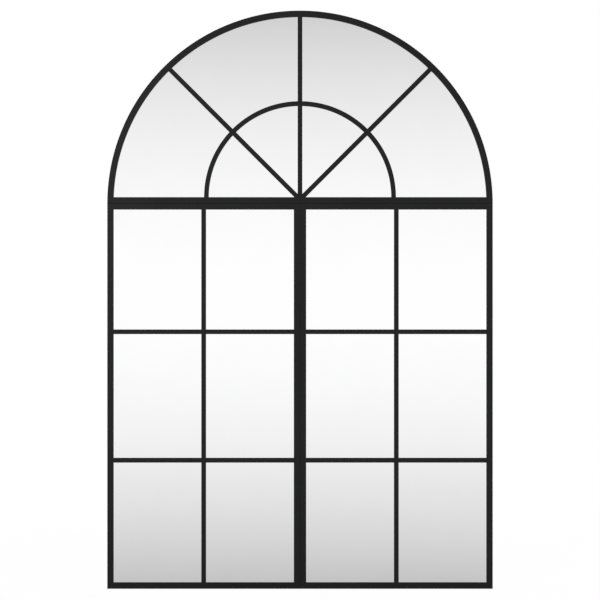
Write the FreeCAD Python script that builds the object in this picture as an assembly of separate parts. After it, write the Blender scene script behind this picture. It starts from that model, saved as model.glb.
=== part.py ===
import FreeCAD, Part
import functools
import math
import os

# An arched window mirror, in millimetres: a half-round fanlight over two equal leaves.
# Each of the three is a frame of steel angle with flat glazing bars, and holds its own pane of
# mirror glass against soft tape, with a fibreboard behind it. They are bolted web to web.
# +X is to the viewer's right, +Z is up, and the mirror faces -Y. The origin is the bottom
# centre of the whole mirror, half way through its depth.

# Outline. The arch is a half circle as wide as the two leaves.
leaf_width = 500.0
leaf_height = 1000.0

# Steel angle of every frame: a front flange, and a web that stands back from it.
face_width = 16.0
section_depth = 25.0
steel_thickness = 2.0
outer_edge_ease = 1.0

# Flat glazing bars, flush with the front flange.
bar_width = 12.0
bar_thickness = 2.0
pane_rows = 3
fan_arc_radius = 243.0
spoke_angle = 45.0
arch_overrun = 1.0

# Glazing, from the flange backwards.
tape_thickness = 1.0
tape_width = 9.0
tape_clearance = 2.0
glass_thickness = 3.0
glass_clearance = 1.0
board_thickness = 5.0

# Tabs welded to the webs, which hold the boards in.
tab_length = 18.0
tab_breadth = 16.0
tab_thickness = 1.5
tab_corner = 3.0
tabs_per_stile = 4
tabs_on_arch = 5
stile_tab_margin = 140.0
arch_tab_margin = 20.0

# Bolts through the webs of neighbouring frames.
bolt_radius = 2.5
bolt_length = 10.0
bolt_across_flats = 8.0
bolt_head_height = 3.5
nut_height = 4.7
bolt_hole_clearance = 0.25
thread_clearance = 0.05
bolts_in_mullion = 3
mullion_bolt_margin = 80.0
bolts_per_head_rail = 2
transom_bolt_margin = 110.0

# Keyhole plates, welded into the corners where the arch springs from the sill.
hanger_thickness = 2.0
hanger_reach = 64.0
hanger_height = 48.0
hanger_corner_radius = 9.0
keyhole_inset = 32.0
keyhole_rise = 15.0
keyhole_entry_radius = 5.5
keyhole_slot_width = 5.5
keyhole_slot_rise = 17.0

# Depths, front to back.
front = -section_depth / 2
back = section_depth / 2
flange_back = front + steel_thickness
bar_depth = (front, front + bar_thickness)
glass_front = flange_back + tape_thickness
glass_back = glass_front + glass_thickness
board_back = glass_back + board_thickness
tab_back = board_back + tab_thickness
bolt_depth = (board_back + back) / 2

# The arch, and how far each layer of glazing is held back from a frame's outside.
arch_radius = leaf_width
arch_clear_radius = arch_radius - face_width
arch_web_radius = arch_radius - steel_thickness
sill_top = leaf_height + face_width
arch_top = leaf_height + arch_radius
glass_inset = steel_thickness + glass_clearance
tape_inset = steel_thickness + tape_clearance

half_turn = 180
sides = {"left": -1, "right": 1}
nodes = {}


def vec(x, y, z):
    return FreeCAD.Vector(x, y, z)


def block(xs, ys, zs):
    """A box between two values on each axis, given in either order."""
    size = [max(pair) - min(pair) for pair in (xs, ys, zs)]
    return Part.makeBox(*size, vec(min(xs), min(ys), min(zs)))


def plate(outline, y0, y1):
    """A flat piece with the outline of (x, z) points, from depth y0 to depth y1."""
    points = [vec(x, y0, z) for x, z in outline]
    face = Part.Face(Part.makePolygon(points + points[:1]))
    return face.extrude(vec(0, y1 - y0, 0))


def disc(radius, y0, y1, x=0.0, z=leaf_height):
    """A round plate about (x, z), which is the arch's centre where it isn't given."""
    return Part.makeCylinder(radius, y1 - y0, vec(x, y0, z), vec(0, 1, 0))


def turned(x, z, angle):
    """The point (x, z) turned about the origin, from +X towards +Z, by the angle in degrees."""
    turn = math.radians(angle)
    return x * math.cos(turn) - z * math.sin(turn), x * math.sin(turn) + z * math.cos(turn)


def spread(margin, length, count):
    """Evenly spaced values along a length, the outer ones a margin from its ends."""
    step = (length - 2 * margin) / max(count - 1, 1)
    return [margin + step * i for i in range(count)]


def save(name, *pieces):
    """Keep a node, which is one solid or a group of equal ones."""
    nodes[name] = pieces


# Steel angle


def angle_section(corner, inward):
    """The L section as a face: its outer corner line is at corner, and its flange runs inward."""
    outline = [
        (outer_edge_ease, front),
        (face_width, front),
        (face_width, flange_back),
        (steel_thickness, flange_back),
        (steel_thickness, back),
        (0, back),
        (0, front + outer_edge_ease),
    ]
    points = [corner + inward * across + vec(0, depth, 0) for across, depth in outline]
    return Part.Face(Part.makePolygon(points + points[:1]))


def angle_bar(outline, inward):
    """A straight angle along the first side of the outline, cut to the outline's mitred ends."""
    (x0, z0), (x1, z1) = outline[:2]
    section = angle_section(vec(x0, 0, z0), vec(inward[0], 0, inward[1]))
    bar = section.extrude(vec(x1 - x0, 0, z1 - z0))
    return bar.common(plate(outline, front, back))


# Bolted joints: where the bolts go, and the holes that both frames of a joint share.


def bolt_holes(places, axis):
    reach = axis * (2 * steel_thickness)
    radius = bolt_radius + bolt_hole_clearance
    return [Part.makeCylinder(radius, 2 * reach.Length, place - reach, axis) for place in places]


mullion_axis = vec(1, 0, 0)
mullion_places = [
    vec(0, bolt_depth, z) for z in spread(mullion_bolt_margin, leaf_height, bolts_in_mullion)
]
mullion_holes = bolt_holes(mullion_places, mullion_axis)

transom_axis = vec(0, 0, 1)
transom_places = [
    vec(side * x, bolt_depth, leaf_height)
    for side in sides.values()
    for x in spread(transom_bolt_margin, leaf_width, bolts_per_head_rail)
]
transom_holes = bolt_holes(transom_places, transom_axis)


def hexagon(height, start, axis):
    """A six-sided prism on the axis, with two of its flats square to Y."""
    radius = bolt_across_flats / math.sqrt(3)
    sideways = axis.cross(vec(0, 1, 0))
    corners = []
    for i in range(6):
        across, depth = turned(radius, 0, 60 * i)
        corners.append(start + sideways * across + vec(0, depth, 0))
    return Part.Face(Part.makePolygon(corners + corners[:1])).extrude(axis * height)


def bolt(place, axis):
    """A hexagon bolt across a joint, with its head on the side that the axis comes from."""
    seat = place - axis * steel_thickness
    head = hexagon(bolt_head_height, seat - axis * bolt_head_height, axis)
    shank = Part.makeCylinder(bolt_radius, bolt_length, seat, axis)
    return head.fuse(shank).removeSplitter()


def nut(place, axis):
    seat = place + axis * steel_thickness
    bore = bolt_radius + thread_clearance
    return hexagon(nut_height, seat, axis).cut(Part.makeCylinder(bore, nut_height, seat, axis))


def joint(name, places, axis):
    save(f"{name}_bolts", *[bolt(place, axis) for place in places])
    save(f"{name}_nuts", *[nut(place, axis) for place in places])


# Glazing


def tab(root_x, root_z, angle, seat):
    """A tab that reaches over the board at the angle, from a web at (root_x, root_z).

    It is drawn from inside the web, and the seat, which is all that the webs enclose, trims it.
    """
    half = tab_breadth / 2
    shoulder = tab_length - tab_corner
    outline = [
        (-steel_thickness, -half),
        (shoulder, -half),
        (tab_length, tab_corner - half),
        (tab_length, half - tab_corner),
        (shoulder, half),
        (-steel_thickness, half),
    ]
    moved = [turned(x, z, angle) for x, z in outline]
    return plate([(root_x + x, root_z + z) for x, z in moved], board_back, tab_back).common(seat)


def glazing(name, layer, tab_roots):
    """Tape, glass, board and tabs of one frame. Its layer is a sheet of its shape at an inset."""
    tape = layer(tape_inset, flange_back, glass_front)
    opening = layer(tape_inset + tape_width, flange_back, glass_front)
    save(f"{name}_glazing_tape", tape.cut(opening))
    save(f"{name}_mirror_glass", layer(glass_inset, glass_front, glass_back))
    save(f"{name}_backing_board", layer(glass_inset, glass_back, board_back))
    seat = layer(steel_thickness, board_back, tab_back)
    save(f"{name}_board_tabs", *[tab(*root, seat) for root in tab_roots])


# Leaves


def leaf_frame(name, side):
    """Four mitred lengths of angle around a leaf, with their webs outwards."""
    far = side * leaf_width
    near_sight = side * face_width
    far_sight = far - near_sight
    low_sight = face_width
    top_sight = leaf_height - face_width
    bottom = [(0, 0), (far, 0), (far_sight, low_sight), (near_sight, low_sight)]
    head = [(0, leaf_height), (far, leaf_height), (far_sight, top_sight), (near_sight, top_sight)]
    outer = [(far, 0), (far, leaf_height), (far_sight, top_sight), (far_sight, low_sight)]
    meeting = [(0, 0), (0, leaf_height), (near_sight, top_sight), (near_sight, low_sight)]
    save(f"{name}_bottom_rail", angle_bar(bottom, (0, 1)))
    save(f"{name}_head_rail", angle_bar(head, (0, -1)).cut(transom_holes))
    save(f"{name}_outer_stile", angle_bar(outer, (-side, 0)))
    save(f"{name}_meeting_stile", angle_bar(meeting, (side, 0)).cut(mullion_holes))


def leaf_bars(name, side):
    """The upright glazing bar, and the cross bars cut in on each side of it."""
    middle = side * leaf_width / 2
    half = side * bar_width / 2
    height = (face_width, leaf_height - face_width)
    save(f"{name}_vertical_bar", block((middle - half, middle + half), bar_depth, height))
    spans = {
        "inner": (side * face_width, middle - half),
        "outer": (middle + half, side * (leaf_width - face_width)),
    }
    for row in range(1, pane_rows):
        z = leaf_height * row / pane_rows
        for place, span in spans.items():
            bar = block(span, bar_depth, (z - bar_width / 2, z + bar_width / 2))
            save(f"{name}_cross_bar_{row}_{place}", bar)


def leaf_layer(side, inset, y0, y1):
    """A rectangular sheet over the leaf, held back from its outside by the inset."""
    xs = (side * inset, side * (leaf_width - inset))
    return block(xs, (y0, y1), (inset, leaf_height - inset))


def leaf_tab_roots(side):
    """Root and direction of each tab: up both stiles, and half way along both rails."""
    facing = {1: 0, -1: half_turn}
    found = []
    for z in spread(stile_tab_margin, leaf_height, tabs_per_stile):
        found.append((side * steel_thickness, z, facing[side]))
        found.append((side * (leaf_width - steel_thickness), z, facing[-side]))
    middle = side * leaf_width / 2
    found.append((middle, steel_thickness, 90))
    found.append((middle, leaf_height - steel_thickness, -90))
    return found


def leaf(name, side):
    leaf_frame(name, side)
    leaf_bars(name, side)
    glazing(name, functools.partial(leaf_layer, side), leaf_tab_roots(side))


# Fanlight


def fan_frame():
    """The rolled arch rail and the straight sill rail, mitred together where they meet.

    The arch is rolled a little past the half circle, and the two mitre cuts take that off.
    """
    mitre_x = math.sqrt(arch_clear_radius**2 - face_width**2)
    sill = [
        (-arch_radius, leaf_height),
        (arch_radius, leaf_height),
        (mitre_x, sill_top),
        (-mitre_x, sill_top),
    ]
    save("fan_sill_rail", angle_bar(sill, (0, 1)).cut(transom_holes))
    run = arch_radius - mitre_x
    below_mitres = [
        (-arch_radius - run, leaf_height - face_width),
        (arch_radius + run, leaf_height - face_width),
        (mitre_x - run, sill_top + face_width),
        (run - mitre_x, sill_top + face_width),
    ]
    axis = (vec(0, 0, leaf_height), vec(0, -1, 0))
    section = angle_section(vec(arch_radius, 0, leaf_height), vec(-1, 0, 0))
    section.rotate(*axis, -arch_overrun)
    ring = section.revolve(*axis, half_turn + 2 * arch_overrun)
    save("fan_arch_rail", ring.cut(plate(below_mitres, front, back)))


def slanting_spoke(side):
    """A bar whose centre line leaves the corner between the sill and the centre spoke.

    Its lower end is cut to a point that fills that corner, and its upper end to the arch.
    """
    half = bar_width / 2
    outline = [
        turned(x, z, spoke_angle)
        for x, z in [(-bar_width, -half), (arch_radius, -half), (arch_radius, half), (-bar_width, half)]
    ]
    bar = plate([(side * (half + x), sill_top + z) for x, z in outline], *bar_depth)
    corner = block((side * half, side * arch_radius), bar_depth, (sill_top, arch_top))
    return bar.common(corner).common(disc(arch_clear_radius, *bar_depth))


def centre_spoke():
    half = bar_width / 2
    bar = block((-half, half), bar_depth, (sill_top, arch_top))
    return bar.common(disc(arch_clear_radius, *bar_depth))


def fan_bars():
    """Three spokes, and the small arch cut in between them and the sill."""
    spokes = {
        "left": slanting_spoke(sides["left"]),
        "centre": centre_spoke(),
        "right": slanting_spoke(sides["right"]),
    }
    for place, bar in spokes.items():
        save(f"fan_spoke_{place}", bar)
    outer = disc(fan_arc_radius + bar_width / 2, *bar_depth, z=sill_top)
    inner = disc(fan_arc_radius - bar_width / 2, *bar_depth, z=sill_top)
    above_sill = block((-arch_radius, arch_radius), bar_depth, (sill_top, arch_top))
    arcs = outer.cut(inner).common(above_sill).cut(list(spokes.values())).Solids
    arcs.sort(key=lambda arc: arc.CenterOfMass.x)
    for place, arc in zip(["outer_left", "inner_left", "inner_right", "outer_right"], arcs):
        save(f"fan_arc_{place}", arc)


def fan_layer(inset, y0, y1):
    """A half-round sheet over the fanlight, held back from its outside by the inset."""
    radius = arch_radius - inset
    room = block((-radius, radius), (y0, y1), (leaf_height + inset, arch_top))
    return disc(radius, y0, y1).common(room)


def fan_tab_roots():
    """Root and direction of each tab: around the arch, and along the sill."""
    found = []
    for angle in spread(arch_tab_margin, half_turn, tabs_on_arch):
        x, z = turned(arch_web_radius, 0, angle)
        found.append((x, leaf_height + z, angle + half_turn))
    for side in sides.values():
        found.append((side * leaf_width / 2, leaf_height + steel_thickness, 90))
    return found


def hanger(side):
    """A corner plate on the sill's web, its outer edge curved to the arch's web, with a keyhole."""
    depth = (back - hanger_thickness, back)
    floor = leaf_height + steel_thickness
    top = floor + hanger_height
    inner = side * (arch_web_radius - hanger_reach)
    body = block((inner, side * arch_web_radius), depth, (floor, top))
    body = body.common(disc(arch_web_radius, *depth))
    corner = vec(inner, sum(depth) / 2, top)
    corner_edge = min(body.Edges, key=lambda edge: edge.CenterOfMass.distanceToPoint(corner))
    body = body.makeFillet(hanger_corner_radius, [corner_edge])
    x = side * (arch_web_radius - keyhole_inset)
    entry = floor + keyhole_rise
    slot_top = entry + keyhole_slot_rise
    half = keyhole_slot_width / 2
    keyhole = block((x - half, x + half), depth, (entry, slot_top))
    keyhole = keyhole.fuse(disc(keyhole_entry_radius, *depth, x, entry))
    return body.cut(keyhole.fuse(disc(half, *depth, x, slot_top)))


def fanlight():
    fan_frame()
    fan_bars()
    glazing("fan", fan_layer, fan_tab_roots())
    for name, side in sides.items():
        save(f"hanger_plate_{name}", hanger(side))


fanlight()
for leaf_name, leaf_side in sides.items():
    leaf(leaf_name, leaf_side)
joint("mullion", mullion_places, mullion_axis)
joint("transom", transom_places, transom_axis)

os.makedirs("parts", exist_ok=True)
for node, solids in nodes.items():
    shape = solids[0] if len(solids) == 1 else Part.makeCompound(solids)
    shape.exportStep(f"parts/{node}.step")
print(len(nodes), "nodes")
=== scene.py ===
import math
import bpy
import numpy as np
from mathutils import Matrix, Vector


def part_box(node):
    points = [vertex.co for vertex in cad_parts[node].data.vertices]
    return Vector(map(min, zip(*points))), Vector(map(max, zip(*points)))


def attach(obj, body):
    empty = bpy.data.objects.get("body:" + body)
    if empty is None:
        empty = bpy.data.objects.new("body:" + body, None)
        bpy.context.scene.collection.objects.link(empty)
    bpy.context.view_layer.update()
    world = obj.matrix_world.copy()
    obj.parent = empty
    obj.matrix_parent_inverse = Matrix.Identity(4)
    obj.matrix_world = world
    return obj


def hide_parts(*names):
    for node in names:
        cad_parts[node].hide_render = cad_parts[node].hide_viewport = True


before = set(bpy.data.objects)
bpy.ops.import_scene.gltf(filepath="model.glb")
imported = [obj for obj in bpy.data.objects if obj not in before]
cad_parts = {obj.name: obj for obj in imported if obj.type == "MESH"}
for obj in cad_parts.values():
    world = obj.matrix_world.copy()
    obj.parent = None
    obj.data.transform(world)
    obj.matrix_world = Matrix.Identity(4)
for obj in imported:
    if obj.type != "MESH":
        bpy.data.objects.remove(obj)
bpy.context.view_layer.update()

# An arched window mirror: three steel frames bolted together, each with its own glass and board.
# Metres, +X to the viewer's right, +Z up, and the mirror faces -Y.
mm = 0.001
degree = math.pi / 180
sides = {"left": -1, "right": 1}

# Places read from the frame
sillLow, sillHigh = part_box("fan_sill_rail")
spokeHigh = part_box("fan_spoke_centre")[1]
hangerLow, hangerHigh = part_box("hanger_plate_right")
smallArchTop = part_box("fan_arc_inner_right")[1][2]
front, back = sillLow[1], sillHigh[1]
leafHeight, sillTop = sillLow[2], sillHigh[2]
archRadius = sillHigh[0]  # also the width of one leaf
faceWidth = sillTop - leafHeight
sightRadius = archRadius - faceWidth
barHalf, barBack = spokeHigh[0], spokeHigh[1]
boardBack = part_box("fan_backing_board")[1][1]
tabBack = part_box("fan_board_tabs")[1][1]
print("frame read:", len(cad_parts), "nodes")


# Wraps one output socket of a node tree, so that sums and products of wires add Math nodes.
class Wire:
    def __init__(self, tree, socket=None):
        self.tree = tree
        self.socket = socket

    # Adds any node: its settings are set first, then each socket gets a value or a link.
    def node(self, kind, settings, inputs, output=0):
        added = self.tree.nodes.new(kind)
        for key, value in settings.items():
            setattr(added, key, value)
        for key, value in inputs.items():
            if isinstance(value, Wire):
                self.tree.links.new(value.socket, added.inputs[key])
            else:
                added.inputs[key].default_value = value
        return Wire(self.tree, added.outputs[output])

    def maths(self, operation, *values):
        return self.node("ShaderNodeMath", {"operation": operation}, dict(enumerate(values)))

    def __add__(self, other):
        return self.maths("ADD", self, other)

    def __sub__(self, other):
        return self.maths("SUBTRACT", self, other)

    def __rsub__(self, other):
        return self.maths("SUBTRACT", other, self)

    def __mul__(self, other):
        return self.maths("MULTIPLY", self, other)

    def __truediv__(self, other):
        return self.maths("DIVIDE", self, other)

    def __rtruediv__(self, other):
        return self.maths("DIVIDE", other, self)

    __radd__ = __add__
    __rmul__ = __mul__

    def larger(self, other):
        return self.maths("MAXIMUM", self, other)

    # This value stretched so that low becomes 0 and high becomes 1, and kept between them.
    def within(self, low, high):
        return self.node("ShaderNodeMapRange", {}, {0: self, 1: low, 2: high})

    # Colour a where this value is 0 and colour b where it is 1.
    def blend(self, a, b):
        a, b = [(*colour, 1) if isinstance(colour, tuple) else colour for colour in (a, b)]
        return self.node("ShaderNodeMix", {"data_type": "RGBA"}, {0: self, 6: a, 7: b}, 2)

    # Object coordinates, or one of them.
    def place(self, axis=None):
        here = self.node("ShaderNodeTexCoord", {}, {}, "Object")
        return self.node("ShaderNodeSeparateXYZ", {}, {0: here}, axis) if axis else here

    # A noise whose features have this size along each axis, turned about Y.
    def noise(self, size, detail=2.0, rough=0.5, turn=0.0):
        size = size if isinstance(size, tuple) else (size, size, size)
        settings = {"Vector": self.place(), "Rotation": (0, turn, 0), "Scale": size}
        mapped = self.node("ShaderNodeMapping", {"vector_type": "TEXTURE"}, settings)
        settings = {"Vector": mapped, "Scale": 1.0, "Detail": detail, "Roughness": rough}
        return self.node("ShaderNodeTexNoise", {}, settings)

    def bump(self, strength, distance):
        settings = {"Strength": strength, "Distance": distance, "Height": self}
        return self.node("ShaderNodeBump", {}, settings)


# A material with one Principled shader. The recipe takes a Wire of its tree and gives its sockets.
def finish(name, recipe):
    material = bpy.data.materials.new(name)
    material.use_nodes = True
    tree = material.node_tree
    shader = tree.nodes["Principled BSDF"]
    for key, value in recipe(Wire(tree)).items():
        if isinstance(value, Wire):
            tree.links.new(value.socket, shader.inputs[key])
        else:
            shader.inputs[key].default_value = value
    return material


powderCoat = {
    "shade": (0.0072, 0.0074, 0.0077),
    "paler": (0.0090, 0.0093, 0.0097),
    "roughness": 0.44,
    "gloss": 0.14,
    "driftSize": 110 * mm,
    "driftRange": (0.3, 0.7),  # the noise's values at which the shade and the paler one are reached
    "driftSheen": 0.10,  # how much the drifts change the roughness
    "peelSize": 1.6 * mm,
    "peelHeight": 0.12 * mm,
    "peelStrength": 0.6,
    "gritSize": 0.42 * mm,
    "gritShare": 0.30,  # of the peel's height
    "gritSheen": 0.06,
}


# Powder coat: near black, an orange peel with a finer grit on it, and slow drifts in tone and sheen.
def powderCoatRecipe(wire):
    coat = powderCoat
    drift = wire.noise(coat["driftSize"], detail=3.0)
    peel = wire.noise(coat["peelSize"], detail=2.0, rough=0.55)
    grit = wire.noise(coat["gritSize"], detail=1.0)
    sheen = coat["roughness"] + (drift - 0.5) * coat["driftSheen"]
    relief = peel + grit * coat["gritShare"]
    return {
        "Base Color": drift.within(*coat["driftRange"]).blend(coat["shade"], coat["paler"]),
        "Roughness": sheen + (grit - 0.5) * coat["gritSheen"],
        "Specular IOR Level": coat["gloss"],
        "Normal": relief.bump(coat["peelStrength"], coat["peelHeight"]),
    }


mirrorGlass = {
    "tint": (0.992, 0.996, 0.994),
    "dusty": (0.978, 0.984, 0.981),
    "waveSize": 450 * mm,
    "waveHeight": 0.02 * mm,
    "waveStrength": 0.15,
    "hazeSize": 70 * mm,
    "hazeRange": (0.45, 0.9),
    "haziest": 0.035,  # roughness
    "dustRange": (0.35, 0.75),
}


# Silvered float glass: a mirror whose sheet waves very slightly, with a breath of haze.
def mirrorRecipe(wire):
    glass = mirrorGlass
    wave = wire.noise(glass["waveSize"], detail=1.0)
    haze = wire.noise(glass["hazeSize"], detail=4.0, rough=0.6)
    return {
        "Base Color": haze.within(*glass["dustRange"]).blend(glass["tint"], glass["dusty"]),
        "Metallic": 1.0,
        "Roughness": haze.within(*glass["hazeRange"]) * glass["haziest"],
        "Normal": wave.bump(glass["waveStrength"], glass["waveHeight"]),
    }


hardboard = {
    "ground": (0.190, 0.108, 0.056),
    "pale": (0.330, 0.208, 0.120),
    "bark": (0.085, 0.045, 0.024),
    "strandSize": (9.0 * mm, 9.0 * mm, 0.55 * mm),
    "strandTurns": (4, 39, 71, 108, 146),
    "strandRange": (0.50, 0.78),
    "strandTone": 0.50,  # how much the strands lighten the board
    "pulpSize": 1.3 * mm,
    "pulpTone": 0.45,
    "mottleSize": 45 * mm,
    "mottleTone": 0.5,
    "toneRange": (0.05, 0.85),
    "barkSize": 2.2 * mm,
    "barkRange": (0.70, 0.76),
    "barkTone": 0.6,
    "roughness": 0.66,
    "pulpRoughness": 0.22,
    "gloss": 0.35,
    "fibreHeight": 0.10 * mm,
    "fibreStrength": 0.5,
}


# Hardboard: strands pressed flat at five angles, the palest uppermost, over a fine pulp with slow
# mottling and a scatter of small dark bark.
def hardboardRecipe(wire):
    board = hardboard
    strands = 0.0
    for turn in board["strandTurns"]:
        strand = wire.noise(board["strandSize"], turn=turn * degree)
        strands = strand.within(*board["strandRange"]).larger(strands)
    pulp = wire.noise(board["pulpSize"], detail=4.0, rough=0.7)
    mottle = wire.noise(board["mottleSize"], detail=4.0, rough=0.6)
    bark = wire.noise(board["barkSize"], detail=1.0).within(*board["barkRange"])
    tone = strands * board["strandTone"] + pulp * board["pulpTone"]
    tone = tone + (mottle - 0.5) * board["mottleTone"]
    colour = tone.within(*board["toneRange"]).blend(board["ground"], board["pale"])
    return {
        "Base Color": (bark * board["barkTone"]).blend(colour, board["bark"]),
        "Roughness": board["roughness"] + pulp * board["pulpRoughness"],
        "Specular IOR Level": board["gloss"],
        "Normal": (strands + pulp).bump(board["fibreStrength"], board["fibreHeight"]),
    }


foamTape = {
    # a pit's colour and a paler colour for its wall, which together paint shade into the pits
    "shade": (0.022, 0.022, 0.023),
    "paintedPaleWall": (0.040, 0.040, 0.041),
    "cellsPerMetre": 1500,
    "cellDepth": 0.15 * mm,
    "cellStrength": 0.6,
    "wallRange": (0.15, 0.75),  # share of a cell's width from its middle, where its wall rises
    "roughness": 0.86,
    "wallRoughness": 0.10,
    "gloss": 0.25,
}


# Foam: dark, matt, and pitted by small round cells. Its colour is painted darker in each pit and paler
# up its wall: a painted shade.
def foamRecipe(wire):
    tape = foamTape
    settings = {"Vector": wire.place(), "Scale": tape["cellsPerMetre"]}
    cells = wire.node("ShaderNodeTexVoronoi", {"feature": "F1"}, settings, "Distance")
    wall = cells.within(*tape["wallRange"])
    return {
        # painted shade: each pit darker than the wall that rises around it
        "Base Color": wall.blend(tape["shade"], tape["paintedPaleWall"]),
        "Roughness": tape["roughness"] + wall * tape["wallRoughness"],
        "Specular IOR Level": tape["gloss"],
        "Normal": wall.bump(tape["cellStrength"], tape["cellDepth"]),
    }


zinc = {
    "bright": (0.66, 0.67, 0.70),
    "dull": (0.47, 0.49, 0.53),
    "roughness": 0.24,
    "cloudSize": 2.4 * mm,
    "cloudRange": (0.35, 0.7),
    "cloudRoughness": 0.20,
    "grainSize": 0.19 * mm,
    "grainRoughness": 0.08,
    "grainHeight": 0.02 * mm,
    "grainStrength": 0.25,
}


# Zinc plate: bright metal with cloudy duller patches and fine machining grain.
def zincRecipe(wire):
    cloud = wire.noise(zinc["cloudSize"], detail=4.0, rough=0.6)
    grain = wire.noise(zinc["grainSize"], detail=2.0)
    dullness = zinc["roughness"] + cloud * zinc["cloudRoughness"]
    return {
        "Base Color": cloud.within(*zinc["cloudRange"]).blend(zinc["bright"], zinc["dull"]),
        "Metallic": 1.0,
        "Roughness": dullness + (grain - 0.5) * zinc["grainRoughness"],
        "Normal": grain.bump(zinc["grainStrength"], zinc["grainHeight"]),
    }


finishes = {
    "black_frame": finish("powderCoat", powderCoatRecipe),
    "mirror_glass": finish("silveredGlass", mirrorRecipe),
    "backing_board": finish("hardboard", hardboardRecipe),
    "glazing_tape": finish("foamTape", foamRecipe),
    "zinc_fasteners": finish("zincPlate", zincRecipe),
}
print("finishes made:", len(finishes))

runIn = 0.1 * mm  # a strip beside each rounded edge, which keeps the flat beyond it flat in the shading


# A closed outline with rounded corners. Each corner becomes an arc tangent to its two sides, with a
# point a run-in before and after it. Gives the points, and their outward normals for an outline that
# runs anticlockwise.
def rounded(corners, radii, steps=5):
    corner = np.array(corners, float)
    radius = np.array(radii, float)[:, None]
    toLast = np.roll(corner, 1, axis=0) - corner
    toNext = np.roll(corner, -1, axis=0) - corner
    toLast /= np.linalg.norm(toLast, axis=1, keepdims=True)
    toNext /= np.linalg.norm(toNext, axis=1, keepdims=True)
    half = np.arccos(np.clip((toLast * toNext).sum(1), -1, 1))[:, None] / 2
    bisector = (toLast + toNext) / np.linalg.norm(toLast + toNext, axis=1, keepdims=True)
    centre = corner + bisector * radius / np.sin(half)
    first = toLast * radius / np.tan(half) + corner - centre
    last = toNext * radius / np.tan(half) + corner - centre
    turn = math.pi - 2 * half
    share = np.linspace(0, 1, steps + 1)[None, :, None]
    fromFirst = np.sin((1 - share) * turn[:, None]) * first[:, None]
    fromLast = np.sin(share * turn[:, None]) * last[:, None]
    arm = (fromFirst + fromLast) / np.sin(turn)[:, None]
    arm = np.concatenate([arm[:, :1], arm, arm[:, -1:]], axis=1)
    points = centre[:, None] + arm
    points[:, 0] += toLast * runIn
    points[:, -1] += toNext * runIn
    bulge = np.sign(toNext[:, 0] * toLast[:, 1] - toNext[:, 1] * toLast[:, 0])  # -1 at a root
    normals = bulge[:, None, None] * arm / radius[:, None]
    return points.reshape(-1, 2), normals.reshape(-1, 2)


# Turns a grid [station, point around, xyz] so that its faces point outwards. The sum of the signed
# volumes under its sides and its two ends is negative where the points run the wrong way round.
def outwards(grid):
    here, ahead = grid[:-1], grid[1:]
    volume = (here * np.cross(ahead, np.roll(ahead, -1, axis=1))).sum()
    volume += (here * np.cross(np.roll(ahead, -1, axis=1), np.roll(here, -1, axis=1))).sum()
    if not np.allclose(grid[0], grid[-1]):
        for ring, sign in ((grid[0], 1), (grid[-1], -1)):
            volume += sign * (ring.mean(axis=0) * np.cross(ring, np.roll(ring, -1, axis=0))).sum()
    return grid if volume > 0 else grid[:, ::-1]


# One object from grids. Each grid closes on itself around, and gets a flat end at its first and
# last station unless the last repeats the first, which makes it a ring.
def makePiece(name, grids, slotName, nodes=(), sharpAngle=40):
    points, quads, ends, count = [], [], [], 0
    for grid in map(outwards, grids):
        ring = np.allclose(grid[0], grid[-1])
        if ring:
            grid = grid[:-1]
        stations, around = grid.shape[:2]
        index = count + np.arange(stations * around).reshape(stations, around)
        here = index if ring else index[:-1]
        ahead = np.roll(index, -1, axis=0) if ring else index[1:]
        quad = [here, ahead, np.roll(ahead, -1, axis=1), np.roll(here, -1, axis=1)]
        quads.append(np.stack(quad, axis=-1).reshape(-1, 4))
        if not ring:
            ends += [index[0].tolist(), index[-1][::-1].tolist()]
        points.append(grid.reshape(-1, 3))
        count += stations * around
    mesh = bpy.data.meshes.new(name)
    mesh.from_pydata(np.concatenate(points).tolist(), [], np.concatenate(quads).tolist() + ends)
    mesh.polygons.foreach_set("use_smooth", np.ones(len(mesh.polygons), bool))
    mesh.set_sharp_from_angle(angle=sharpAngle * degree)
    mesh.materials.append(finishes[slotName])
    piece = bpy.data.objects.new(name, mesh)
    bpy.context.scene.collection.objects.link(piece)
    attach(piece, "root")
    if nodes:
        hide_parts(*nodes)


# Points (x, z) at depth y as xyz.
def atDepth(flat, y):
    return np.stack([flat[..., 0], np.broadcast_to(y, flat.shape[:-1]), flat[..., 1]], axis=-1)


# The point (along, across) of a piece that starts at root and runs at turn, in the XZ plane.
def placed(flat, root, turn):
    cosine, sine = np.cos(turn), np.sin(turn)
    x = root[0] + flat[..., 0] * cosine - flat[..., 1] * sine
    z = root[1] + flat[..., 0] * sine + flat[..., 1] * cosine
    return np.stack([x, z], axis=-1)


# The same grid on the side given: x times -1 on the left, and as it is on the right.
def mirrored(grid, side):
    return grid * np.array([side, 1, 1])


railSteel = {
    "gauge": 2.0 * mm,
    "outerEdge": 1.0 * mm,
    "toeEdge": 0.4 * mm,
    "cutEdge": 0.3 * mm,
    "root": 1.5 * mm,
    "archStations": 145,
}
gauge = railSteel["gauge"]

# The L section as (across from the outer face, depth), flange in front and web outside.
railCorners = {
    (0, front): "outerEdge",
    (faceWidth, front): "toeEdge",
    (faceWidth, front + gauge): "cutEdge",
    (gauge, front + gauge): "root",
    (gauge, back): "cutEdge",
    (0, back): "cutEdge",
}
railProfile = rounded(list(railCorners), [railSteel[edge] for edge in railCorners.values()])[0]


# A straight rail: each profile point starts at the first corner and ends at the last, moved inward
# by its distance across, and along the rail by that distance times the slope of the mitre.
def straightRail(first, last, inward, slope=1.0):
    first, last, inward = np.array(first), np.array(last), np.array(inward)
    along = (last - first) / np.linalg.norm(last - first)
    across, depth = railProfile[:, :1], railProfile[:, 1]
    start = atDepth(first + across * (inward + slope * along), depth)
    end = atDepth(last + across * (inward - slope * along), depth)
    return np.stack([start, end])


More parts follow.
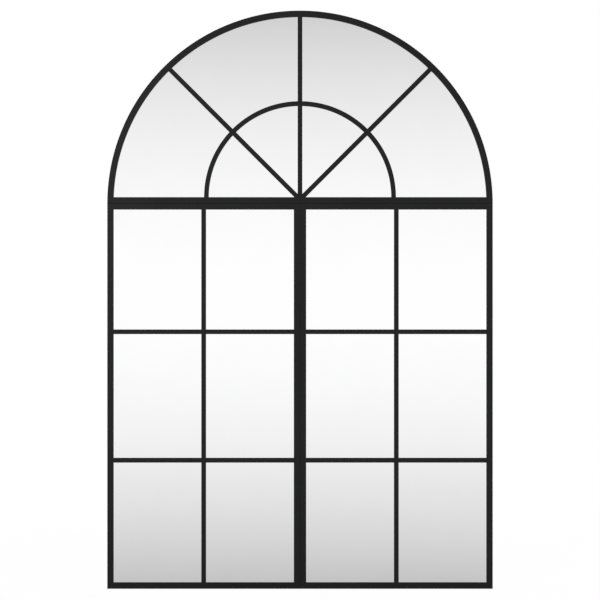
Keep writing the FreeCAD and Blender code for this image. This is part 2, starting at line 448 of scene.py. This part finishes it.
for name, side in sides.items():
    far = side * archRadius
    rails = {
        "bottom_rail": ((0, 0), (far, 0), (0, 1)),
        "head_rail": ((0, leafHeight), (far, leafHeight), (0, -1)),
        "outer_stile": ((far, 0), (far, leafHeight), (-side, 0)),
        "meeting_stile": ((0, 0), (0, leafHeight), (side, 0)),
    }
    for part, run in rails.items():
        node = f"{name}_{part}"
        makePiece(f"{node}_steel", [straightRail(*run)], "black_frame", [node])

# How far the mitre between sill and arch leans inward for each unit that it rises.
archMitre = (archRadius - math.sqrt(sightRadius**2 - faceWidth**2)) / faceWidth


# The rolled arch: each profile point runs round its own circle, from the mitre at one springing to
# the mitre at the other. It meets the mitre line at the rise s where (R - lean s)^2 + s^2 = r^2.
def archRail():
    across, depth = railProfile.T
    radius = archRadius - across
    squared = 1 + archMitre**2
    linear = archRadius * archMitre
    rise = (linear - np.sqrt(linear**2 - squared * (archRadius**2 - radius**2))) / squared
    start = np.arctan2(rise, archRadius - archMitre * rise)
    share = np.linspace(0, 1, railSteel["archStations"])[:, None]
    turn = start + (math.pi - 2 * start) * share
    flat = np.stack([radius * np.cos(turn), leafHeight + radius * np.sin(turn)], axis=-1)
    return atDepth(flat, depth)


sill = straightRail((-archRadius, leafHeight), (archRadius, leafHeight), (0, 1), archMitre)
makePiece("fan_sill_rail_steel", [sill], "black_frame", ["fan_sill_rail"])
makePiece("fan_arch_rail_steel", [archRail()], "black_frame", ["fan_arch_rail"])
print("rails made")

bars = {
    "frontEdge": 0.5 * mm,
    "backEdge": 0.25 * mm,
    "bite": 1.2 * mm,  # how far a welded end reaches into its neighbour
    "setBack": {"upright": 0.04 * mm, "slanting": 0.08 * mm, "cross": 0.12 * mm},  # from the flange
    "arcStations": 60,
    "spokeTurn": 45 * degree,
}
bite, spokeTurn = bars["bite"], bars["spokeTurn"]


# The bar's section as (across, depth): a flat bar with eased edges and a point half way along its
# front and back.
def barProfile(kind):
    face = front + bars["setBack"][kind]
    corners = [(-barHalf, face), (barHalf, face), (barHalf, barBack), (-barHalf, barBack)]
    radii = [bars["frontEdge"]] * 2 + [bars["backEdge"]] * 2
    eased = rounded(corners, radii)[0].reshape(4, -1, 2)
    middles = np.array([[(0.0, face)], [(0.0, barBack)]])
    return np.concatenate([eased[0], middles[0], eased[1], eased[2], middles[1], eased[3]])


# A bar between two ends, which are given for each profile point as distances along its line.
def straightBar(kind, root, turn, start, end):
    across, depth = barProfile(kind).T
    ends = []
    for reach in (start, end):
        flat = np.stack([np.broadcast_to(reach(across), across.shape), across], axis=-1)
        ends.append(atDepth(placed(flat, root, turn), depth))
    return np.stack(ends)


# An upright or level bar of a leaf, along the middle of its node's box.
def leafBar(node):
    low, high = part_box(node)
    width, height = high[0] - low[0], high[2] - low[2]
    if height > width:
        kind, root, turn = "upright", ((low[0] + high[0]) / 2, low[2]), math.pi / 2
    else:
        kind, root, turn = "cross", (low[0], (low[2] + high[2]) / 2), 0.0
    length = max(width, height)
    grid = straightBar(kind, root, turn, lambda across: -bite, lambda across: length + bite)
    makePiece(f"{node}_steel", [grid], "black_frame", [node])


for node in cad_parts:
    if "vertical_bar" in node or "cross_bar" in node:
        leafBar(node)


# Distance along a spoke, for a point across its centre line, to where it meets the arch's sight circle.
def toArch(root, turn):
    def reach(across):
        x = root[0] - across * math.sin(turn)
        z = root[1] - leafHeight + across * math.cos(turn)
        towards = x * math.cos(turn) + z * math.sin(turn)
        return -towards + np.sqrt(towards**2 + sightRadius**2 - x**2 - z**2) + bite

    return reach


# The foot of a slanting spoke comes to a point between the sill below it and the spoke beside it.
def spokeFoot(across):
    rise = np.where(across < 0, -across / math.tan(spokeTurn), across * math.tan(spokeTurn))
    return rise - bite


upright, centreRoot = math.pi / 2, (0.0, sillTop)
centre = straightBar("upright", centreRoot, upright, lambda across: -bite, toArch(centreRoot, upright))
makePiece("fan_spoke_centre_steel", [centre], "black_frame", ["fan_spoke_centre"])
slantRoot = (barHalf, sillTop)  # the corner of sill and centre spoke
slanting = straightBar("slanting", slantRoot, spokeTurn, spokeFoot, toArch(slantRoot, spokeTurn))
for name, side in sides.items():
    node = f"fan_spoke_{name}"
    makePiece(f"{node}_steel", [mirrored(slanting, side)], "black_frame", [node])

smallArchRadius = smallArchTop - sillTop - barHalf


# A length of the small arch: each profile point runs round its own circle, r = radius + across,
# between the two turns at which that circle meets the bars at its ends.
def arcBar(start, end):
    across, depth = barProfile("cross").T
    radius = smallArchRadius + across
    biteTurn = bite / smallArchRadius
    share = np.linspace(0, 1, bars["arcStations"])[:, None]
    turn = (start(radius) - biteTurn) * (1 - share) + (end(radius) + biteTurn) * share
    flat = np.stack([radius * np.cos(turn), sillTop + radius * np.sin(turn)], axis=-1)
    return atDepth(flat, depth)


# The turn at which a circle about the sill meets the slanting spoke's lower or upper edge.
def atSlant(edge):
    offset = edge * barHalf - barHalf * math.sin(spokeTurn)
    return lambda radius: spokeTurn + np.arcsin(offset / radius)


smallArch = {
    "outer": arcBar(lambda radius: 0 * radius, atSlant(-1)),
    "inner": arcBar(atSlant(1), lambda radius: np.arccos(barHalf / radius)),
}
for name, side in sides.items():
    for place, grid in smallArch.items():
        node = f"fan_arc_{place}_{name}"
        makePiece(f"{node}_steel", [mirrored(grid, side)], "black_frame", [node])
print("glazing bars made")

boardTabs = {
    "length": 18.0 * mm,
    "breadth": 16.0 * mm,
    "corner": 3.0 * mm,
    "edge": 0.25 * mm,
    "letIn": 0.3 * mm,  # into the web
    "perStile": 4,
    "stileMargin": 140.0 * mm,
    "onArch": 5,
    "archMargin": 20 * degree,
}


# Root and direction of each tab of a leaf: up both stiles, and half way along both rails.
def leafTabs(side):
    margin = boardTabs["stileMargin"]
    rows = np.linspace(margin, leafHeight - margin, boardTabs["perStile"])
    inner, outer, middle = side * gauge, side * (archRadius - gauge), side * archRadius / 2
    facing = 0.0 if side > 0 else math.pi
    tabs = [((inner, z), facing) for z in rows]
    tabs += [((outer, z), facing + math.pi) for z in rows]
    return tabs + [((middle, gauge), math.pi / 2), ((middle, leafHeight - gauge), -math.pi / 2)]


# Root and direction of each tab of the fanlight: around the arch, and along the sill.
def fanTabs():
    webRadius, margin = archRadius - gauge, boardTabs["archMargin"]
    turns = np.linspace(margin, math.pi - margin, boardTabs["onArch"])
    roots = [(webRadius * math.cos(turn), leafHeight + webRadius * math.sin(turn)) for turn in turns]
    tabs = [(root, turn + math.pi) for root, turn in zip(roots, turns)]
    onSill = [(side * archRadius / 2, leafHeight + gauge) for side in sides.values()]
    return tabs + [(root, math.pi / 2) for root in onSill]


# The rounded rim of a plate, from its near face round to its far one: inset e(1 - cos t) at depth
# e(1 - sin t) from the face, for t from 90 degrees at the face to 0 at the side, and then back.
def rim(near, far, edge, steps=3):
    turn = np.linspace(math.pi / 2, 0, steps + 1)
    inset, depth = edge * (1 - np.cos(turn)), edge * (1 - np.sin(turn))
    inset = np.concatenate([[edge + runIn], inset, inset[::-1], [edge + runIn]])
    return inset, np.concatenate([[near], near + depth, far - depth[::-1], [far]])


# A tab: its outline, drawn inward by the rim's inset, at each of the rim's levels from the board to
# the tab's back.
def tabPlate(root, turn):
    half, length, start = boardTabs["breadth"] / 2, boardTabs["length"], -boardTabs["letIn"]
    corners = [(start, -half), (length, -half), (length, half), (start, half)]
    small, large = boardTabs["edge"] * 2, boardTabs["corner"]
    outline, normals = rounded(corners, [small, large, large, small], steps=8)
    inset, level = rim(boardBack, tabBack, boardTabs["edge"])
    flat = placed(outline - normals * inset[:, None, None], root, turn)
    return atDepth(flat, level[:, None])


screwHead = {
    "radius": 3.0 * mm,
    "height": 1.9 * mm,
    "skirt": 0.6 * mm,
    "armLength": 1.75 * mm,
    "armHalf": 0.42 * mm,
    "recess": 1.1 * mm,
    "fromWeb": 11.0 * mm,
    "domeFlat": 0.02,  # share of the radius, which closes the middle
    "crowding": 0.9,  # below 1, it draws the rings towards the rim
    "deepening": 0.6,  # below 1, the slots deepen soon after their ends
    "slotWall": 0.3,  # share of a slot's half width that its sloping wall takes
    "rings": 28,
    "around": 64,
}


# A pan head with a cross recess. Its height is a skirt and then a dome, h = skirt + rise sqrt(1 - q^4)
# for q the share of the radius, less the recess: a cross of two slots that deepen to the middle.
def screw(root, turn, spin):
    head = screwHead
    share = np.cos(np.linspace(0, math.pi / 2, head["rings"])) ** head["crowding"]
    share[-1] = head["domeFlat"]
    dome = head["skirt"] + (head["height"] - head["skirt"]) * np.sqrt(1 - share**4)
    share, dome = np.append(1.0, share), np.append(0.0, dome)
    around = np.linspace(0, 2 * math.pi, head["around"], endpoint=False)
    radius = head["radius"] * share[:, None]
    along, across = radius * np.cos(around), radius * np.sin(around)
    inward = np.clip(1 - np.hypot(along, across) / head["armLength"], 0, 1)
    nearest = np.minimum(np.abs(along), np.abs(across))
    slot = np.clip((head["armHalf"] - nearest) / (head["slotWall"] * head["armHalf"]), 0, 1)
    rise = dome[:, None] - head["recess"] * inward ** head["deepening"] * slot
    flat = placed(np.stack([along, across], axis=-1), (0, 0), spin)
    middle = placed(np.array([head["fromWeb"], 0.0]), root, turn)
    return atDepth(flat + middle, tabBack + rise)


weld = {
    "tabRadius": 1.3 * mm,
    "tabLength": 12.0 * mm,
    "cornerRadius": 1.7 * mm,
    "aboveBoard": 2.2 * mm,
    "belowEdge": 1.5 * mm,
    "belowHanger": 0.5 * mm,
    "ripple": 1.1 * mm,
    "swell": 0.10,  # share of the radius
    "lag": 0.5,  # share of a ripple by which its crown trails
    "tip": 0.004,  # share of the length that is left off at each end
    "station": 0.2 * mm,
    "around": 14,
}


# A weld bead from one point to another: a tube of radius r (1 + swell cos) sqrt(1 - |2s - 1|^7) for
# s the share of its length. It swells once in each ripple, and its ripples trail at the crown.
def bead(first, last, radius, crown):
    first, last, crown = np.array(first), np.array(last), np.array(crown, float)
    length = np.linalg.norm(last - first)
    along = (last - first) / length
    crown /= np.linalg.norm(crown)
    beside = np.cross(along, crown)
    share = np.linspace(weld["tip"], 1 - weld["tip"], int(length / weld["station"]))[:, None]
    around = np.linspace(0, 2 * math.pi, weld["around"], endpoint=False)
    taper = (1 - np.abs(2 * share - 1) ** 7) ** 0.5
    swell = 1 + weld["swell"] * np.cos(2 * math.pi * share * length / weld["ripple"])
    lag = (weld["lag"] * weld["ripple"] * np.cos(around) * taper)[..., None]
    ring = np.cos(around)[None, :, None] * crown + np.sin(around)[None, :, None] * beside
    middle = first + along * (share[..., None] * length - lag)
    return middle + (radius * taper * swell)[..., None] * ring


# The bead at a tab's root, in the corner between the web and the back of the tab.
def tabBead(root, turn):
    half = weld["tabLength"] / 2
    first, last = atDepth(placed(np.array([[0, -half], [0, half]]), root, turn), tabBack)
    return bead(first, last, weld["tabRadius"], (math.cos(turn), 1, math.sin(turn)))


# The bead up the inside of a mitred corner, from behind the board backwards.
def cornerBead(corner, inward, end):
    x, z = corner
    start = boardBack + weld["aboveBoard"]
    return bead((x, start, z), (x, end, z), weld["cornerRadius"], (inward[0], 0, inward[1]))


# One bead in each corner of a leaf, which leans in from both rails' webs.
def leafCornerBeads(side):
    end = back - weld["belowEdge"]
    columns = {gauge: 1, archRadius - gauge: -1}
    rows = {gauge: 1, leafHeight - gauge: -1}
    return [
        cornerBead((side * x, z), (side * leanX, leanZ), end)
        for x, leanX in columns.items()
        for z, leanZ in rows.items()
    ]


# The fanlight's two corners, where the beads stop short of the keyhole plates.
def fanCornerBeads():
    end, z = hangerLow[1] - weld["belowHanger"], leafHeight + gauge
    return [cornerBead((side * (archRadius - gauge), z), (-side, 1), end) for side in sides.values()]


backWork = {
    "fan": (fanTabs(), fanCornerBeads()),
    "left": (leafTabs(-1), leafCornerBeads(-1)),
    "right": (leafTabs(1), leafCornerBeads(1)),
}
spin = 0.0
for name, (tabs, beads) in backWork.items():
    screws = []
    for root, turn in tabs:
        beads.append(tabBead(root, turn))
        spin += 137.5 * degree  # no two cross recesses line up
        screws.append(screw(root, turn, spin))
    plates = [tabPlate(root, turn) for root, turn in tabs]
    makePiece(f"{name}_tab_plates", plates, "black_frame", [f"{name}_board_tabs"])
    makePiece(f"{name}_weld_beads", beads, "black_frame")
    makePiece(f"{name}_board_screws", screws, "zinc_fasteners")
print("tabs, screws and welds made")

keyhole = {
    "inset": 32.0 * mm,  # from the arch's web
    "rise": 15.0 * mm,  # from the sill's web
    "entryRadius": 5.5 * mm,
    "slotHalf": 2.75 * mm,
    "slotRise": 17.0 * mm,
    "corner": 9.0 * mm,
    "edge": 0.35 * mm,
    "eye": 3.0 * mm,  # above the entry, the point that both outlines are drawn round
    "around": 192,
}


# Distance from the eye along each ray to a circle about (x, z).
def toCircle(ray, x, z, radius):
    towards = ray[:, 0] * x + ray[:, 1] * z
    inside = np.maximum(towards**2 + radius**2 - x**2 - z**2, 0)
    return towards + np.sqrt(inside)


# The keyhole's outline from its eye: the further of the entry circle and the slot with its round top.
def keyholeReach(ray):
    entry = toCircle(ray, 0, -keyhole["eye"], keyhole["entryRadius"])
    top = keyhole["slotRise"] - keyhole["eye"]
    side = keyhole["slotHalf"] / np.maximum(np.abs(ray[:, 0]), 1e-9)
    slot = np.where(side * ray[:, 1] < top, side, toCircle(ray, 0, top, keyhole["slotHalf"]))
    return np.where(ray[:, 1] > 0, np.maximum(entry, slot), entry)


# The plate's outline from the same eye: the nearest of its inner edge, its top, the sill's web and
# the arch's web, with the free corner rounded.
def plateReach(ray, eye):
    inner, top, floor = hangerLow[0] - eye[0], hangerHigh[2] - eye[1], hangerLow[2] - eye[1]
    with np.errstate(divide="ignore"):
        toInner = np.where(ray[:, 0] < 0, inner / ray[:, 0], np.inf)
        toTop = np.where(ray[:, 1] > 0, top / ray[:, 1], np.inf)
        toFloor = np.where(ray[:, 1] < 0, floor / ray[:, 1], np.inf)
    toWeb = toCircle(ray, -eye[0], leafHeight - eye[1], archRadius - gauge)
    reach = np.minimum.reduce([toInner, toTop, toFloor, toWeb])
    hit = ray * reach[:, None]
    curve = keyhole["corner"]
    atCorner = (hit[:, 0] < inner + curve) & (hit[:, 1] > top - curve)
    return np.where(atCorner, toCircle(ray, inner + curve, top - curve, curve), reach)


# A keyhole plate: a ring whose section goes round the outer rim, across the back, round the
# keyhole's rim and across the front again. Three of its rays pass through the plate's sharp corners.
def hangerPlate(side):
    webRadius = archRadius - gauge
    eye = (webRadius - keyhole["inset"], leafHeight + gauge + keyhole["rise"] + keyhole["eye"])
    webEnd = math.sqrt(webRadius**2 - (hangerHigh[2] - leafHeight) ** 2)
    corners = [(hangerLow[0], hangerLow[2]), (hangerHigh[0], hangerLow[2]), (webEnd, hangerHigh[2])]
    exact = [math.atan2(z - eye[1], x - eye[0]) for x, z in corners]
    even = np.linspace(-math.pi, math.pi, keyhole["around"], endpoint=False)
    turn = np.sort(np.concatenate([even, exact]))
    ray = np.stack([np.cos(turn), np.sin(turn)], axis=-1)
    inset, level = rim(hangerLow[1], hangerHigh[1], keyhole["edge"])
    outer = plateReach(ray, eye) - inset[:, None]
    hole = keyholeReach(ray) + inset[::-1, None]
    reach = np.concatenate([outer, hole, outer[:1]])
    level = np.concatenate([level, level[::-1], level[:1]])
    return mirrored(atDepth(np.array(eye) + ray * reach[..., None], level[:, None]), side)


for name, side in sides.items():
    node = f"hanger_plate_{name}"
    makePiece(f"{node}_steel", [hangerPlate(side)], "black_frame", [node], sharpAngle=30)
print("keyhole plates made")

fastener = {
    "shankRadius": 2.5 * mm,
    "flatRadius": 4.0 * mm,  # half of the size across flats
    "chamferShare": 0.94,  # of the flat radius, where a chamfer ends
    "chamferTilt": 30 * degree,
    "headHeight": 3.5 * mm,
    "nutHeight": 4.7 * mm,
    "countersink": 0.25 * mm,
    "length": 10.0 * mm,
    "pitch": 0.8 * mm,
    "threadDepth": 0.42 * mm,
    "threadStations": 90,
    "threadAround": 48,
    "nose": 0.5 * mm,  # the tapered end of the thread
    "noseShare": 0.86,  # of the thread's radius, at its tip
    "boreShare": 0.92,  # of the shank's radius, at the crests of the nut's thread
    "perMullion": 3,
    "mullionMargin": 80.0 * mm,
    "perHeadRail": 2,
    "transomMargin": 110.0 * mm,
    "boltTurn": (0.2, 0.7),  # radians, the first bolt's and then from each to the next
    "nutTurn": (0.5, 1.1),
    "around": 72,
}
boltDepth = (boardBack + back) / 2


# Unit directions square to an axis that lies in the mirror's plane, at these turns from Y.
def squareTo(axis, turn):
    beside = np.array([0.0, 1.0, 0.0])
    return np.cos(turn)[:, None] * beside + np.sin(turn)[:, None] * np.cross(axis, beside)


# A six-sided form: rings of the given radii and heights, each trimmed to the hexagon's radius,
# flat / cos(angle from the middle of the nearest flat).
def sixSided(seat, axis, spin, radii, heights):
    turn = np.linspace(0, 2 * math.pi, fastener["around"], endpoint=False)
    fromFlat = (turn + math.pi / 6) % (math.pi / 3) - math.pi / 6
    radius = np.minimum(np.array(radii)[:, None], fastener["flatRadius"] / np.cos(fromFlat))
    rise = np.array(heights)[:, None, None] * axis
    return seat + radius[..., None] * squareTo(axis, turn + spin) + rise


# The chamfer that ends a hexagon at a height: along a cone, the radius falls from its corners to a
# circle just inside its flats.
def chamfer(height, steps=7):
    flat = fastener["flatRadius"]
    corner, circle = flat / math.cos(math.pi / 6), flat * fastener["chamferShare"]
    fall = (corner - circle) * math.tan(fastener["chamferTilt"]) * np.linspace(1, 0, steps)
    return np.linspace(corner, circle, steps), height - fall


# The end of a threaded shank: the radius falls by a triangle wave of height along a helix, and
# tapers off at the nose.
def threadEnd(place, axis, spin):
    start, end = gauge, fastener["length"] - gauge
    height = np.linspace(start, end, fastener["threadStations"])[:, None]
    turn = np.linspace(0, 2 * math.pi, fastener["threadAround"], endpoint=False)
    phase = (height / fastener["pitch"] - turn / (2 * math.pi)) % 1.0
    fall = fastener["threadDepth"] * np.abs(2 * phase - 1)
    nose = np.clip((end - height) / fastener["nose"], 0, 1)
    least = fastener["noseShare"]
    radius = (fastener["shankRadius"] - fall) * (least + (1 - least) * nose)
    return place + radius[..., None] * squareTo(axis, turn + spin) + height[..., None] * axis


# A bolt's head, and the threaded end that shows beyond the nut.
def boltForm(place, axis, spin):
    radii, heights = chamfer(fastener["headHeight"])
    radii, heights = np.append(radii[0], radii), np.append(0.0, heights)
    head = sixSided(place - axis * gauge, -axis, spin, radii, heights)
    return [head, threadEnd(place, axis, spin)]


# A nut: a ring chamfered at both ends, with a countersunk bore.
def nutForm(place, axis, spin):
    top, sink = fastener["nutHeight"], fastener["countersink"]
    bore = fastener["shankRadius"] * fastener["boreShare"]
    mouth = fastener["shankRadius"] + sink
    radii, heights = chamfer(top)
    radii = np.concatenate([[bore, mouth], radii[::-1], radii, [mouth, bore, bore]])
    heights = np.concatenate([[sink, 0.0], top - heights[::-1], heights, [top, top - sink, sink]])
    return sixSided(place + axis * gauge, axis, spin, radii, heights)


# The bolts and nuts of one joint, each turned a little further than the one before.
def joinedBy(name, places, axis):
    axis = np.array(axis, float)
    firstBolt, nextBolt = fastener["boltTurn"]
    firstNut, nextNut = fastener["nutTurn"]
    bolts, nuts = [], []
    for i, place in enumerate(np.array(places, float)):
        bolts += boltForm(place, axis, nextBolt * i + firstBolt)
        nuts.append(nutForm(place, axis, nextNut * i + firstNut))
    makePiece(f"{name}_bolt_forms", bolts, "zinc_fasteners", [f"{name}_bolts"], sharpAngle=25)
    makePiece(f"{name}_nut_forms", nuts, "zinc_fasteners", [f"{name}_nuts"], sharpAngle=25)


margin = fastener["mullionMargin"]
heights = np.linspace(margin, leafHeight - margin, fastener["perMullion"])
joinedBy("mullion", [(0, boltDepth, z) for z in heights], (1, 0, 0))
margin = fastener["transomMargin"]
run = np.linspace(margin, archRadius - margin, fastener["perHeadRail"])
places = [(side * x, boltDepth, leafHeight) for side in sides.values() for x in run]
joinedBy("transom", places, (0, 0, 1))
print("bolts and nuts made")

# The panes, boards and tapes keep their solids and get their finishes.
for node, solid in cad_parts.items():
    for slotName in ("mirror_glass", "backing_board", "glazing_tape"):
        if node.endswith(slotName):
            solid.data.materials.clear()
            solid.data.materials.append(finishes[slotName])
print("glass, boards and tape finished")

studio = {
    "cameraDistance": 3.0,  # from the front of the frame
    "cameraHeight": 0.7492,
    "viewWidth": 1.556,  # across the picture, at the front of the frame
    "falloffAbove": 6.1,  # how fast the surroundings darken with the slope of a reflected ray
    "falloffBelow": 7.6,
    "dimmest": 0.5,
    "fill": 0.72,
    "floorShade": 0.8,
    "floorHeight": -0.2 * mm,  # just under the mirror
    "floorSize": 240.0,
    "shadowDepth": 0.035,  # how much of the floor's own shading the camera sees beside the mirror
    "shadowReach": 1.6,
    "lamps": {
        "keyLamp": {"place": (-2.6, -3.4, 1.9), "size": 2.0, "power": 66},
        "fillLamp": {"place": (2.8, -2.6, 1.4), "size": 2.0, "power": 28},
        "backLamp": {"place": (1.5, 2.8, 2.3), "size": 1.8, "power": 52},
    },
}
scene = bpy.context.scene
scene.view_settings.view_transform = "Standard"


def setCamera():
    data = bpy.data.cameras.new("camera")
    data.lens = data.sensor_width * studio["cameraDistance"] / studio["viewWidth"]
    camera = bpy.data.objects.new("camera", data)
    camera.location = (0, front - studio["cameraDistance"], studio["cameraHeight"])
    camera.rotation_euler = (math.pi / 2, 0, 0)
    scene.collection.objects.link(camera)
    scene.camera = camera


# Whether a ray comes from the camera or through glass, and whether it comes off a glossy surface.
def raysOf(wire):
    kinds = [f"Is {kind} Ray" for kind in ("Camera", "Transmission", "Glossy")]
    seen, through, glossy = [wire.node("ShaderNodeLightPath", {}, {}, kind) for kind in kinds]
    return seen + through, glossy


# White where a ray comes from the camera. Where it comes off metal or glass, white at eye level and
# darker by falloff times the square of the ray's slope. Soft grey light for everything else.
def lightWorld():
    world = bpy.data.worlds.new("studio")
    world.use_nodes = True
    scene.world = world
    wire = Wire(world.node_tree)
    direction = wire.node("ShaderNodeTexCoord", {}, {}, "Generated")
    rise = wire.node("ShaderNodeSeparateXYZ", {}, {0: direction}, "Z")
    squared = rise * rise
    slope = squared / (1.001 - squared)  # squared too, and finite straight up
    gradient = (1 - slope * studio["falloffAbove"]).larger(studio["dimmest"])
    seen, glossy = raysOf(wire)
    strength = seen + glossy * gradient + (1 - seen - glossy) * studio["fill"]
    background = world.node_tree.nodes["Background"]
    world.node_tree.links.new(strength.socket, background.inputs["Strength"])
    background.inputs["Color"].default_value = (1, 1, 1, 1)


# The floor: pale and matt under the lamps. The camera sees it white, with a little of its own
# shading beside the mirror, so that a faint shadow stays. Seen in metal or glass it pales with
# distance as the world does with slope.
def layFloor():
    half, height = studio["floorSize"] / 2, studio["floorHeight"]
    mesh = bpy.data.meshes.new("floor")
    corners = [(-half, -half), (half, -half), (half, half), (-half, half)]
    mesh.from_pydata([(x, y, height) for x, y in corners], [], [(0, 1, 2, 3)])
    floor = bpy.data.objects.new("floor", mesh)
    scene.collection.objects.link(floor)
    material = bpy.data.materials.new("paleFloor")
    material.use_nodes = True
    tree = material.node_tree
    tree.nodes.remove(tree.nodes["Principled BSDF"])
    wire = Wire(tree)
    x, y = wire.place("X"), wire.place("Y")
    seen, glossy = raysOf(wire)
    away = wire.maths("ABSOLUTE", y) + studio["cameraDistance"]
    gradient = 1 - studio["falloffBelow"] * studio["cameraHeight"] ** 2 / (away * away)
    beside = (x * x + y * y).within(studio["shadowReach"] ** 2, 0)
    white = (seen + glossy) * (1 - beside * studio["shadowDepth"])
    matt = wire.node("ShaderNodeBsdfDiffuse", {}, {"Color": (studio["floorShade"],) * 3 + (1,)})
    glow = wire.node("ShaderNodeEmission", {}, {"Strength": seen + glossy * gradient})
    mixed = wire.node("ShaderNodeMixShader", {}, {0: white, 1: matt, 2: glow})
    tree.links.new(mixed.socket, tree.nodes["Material Output"].inputs["Surface"])
    mesh.materials.append(material)


# What the lamps leave out: the glass, so that it shows the plain studio and no lamp.
def spareTheGlass():
    spared = bpy.data.collections.new("sparedGlass")
    for node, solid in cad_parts.items():
        if node.endswith("mirror_glass"):
            spared.objects.link(solid)
    for member in spared.collection_objects:
        member.light_linking.link_state = "EXCLUDE"
    return spared


# A square lamp that faces the middle of the mirror.
def hangLamp(name, spared, place, size, power):
    data = bpy.data.lights.new(name, "AREA")
    data.shape = "SQUARE"
    data.size = size
    data.energy = power
    lamp = bpy.data.objects.new(name, data)
    lamp.location = place
    aim = Vector((0, 0, studio["cameraHeight"])) - Vector(place)
    lamp.rotation_euler = aim.to_track_quat("-Z", "Y").to_euler()
    lamp.light_linking.receiver_collection = spared
    scene.collection.objects.link(lamp)


setCamera()
lightWorld()
layFloor()
spared = spareTheGlass()
for name, lamp in studio["lamps"].items():
    hangLamp(name, spared, **lamp)
print("studio lit")
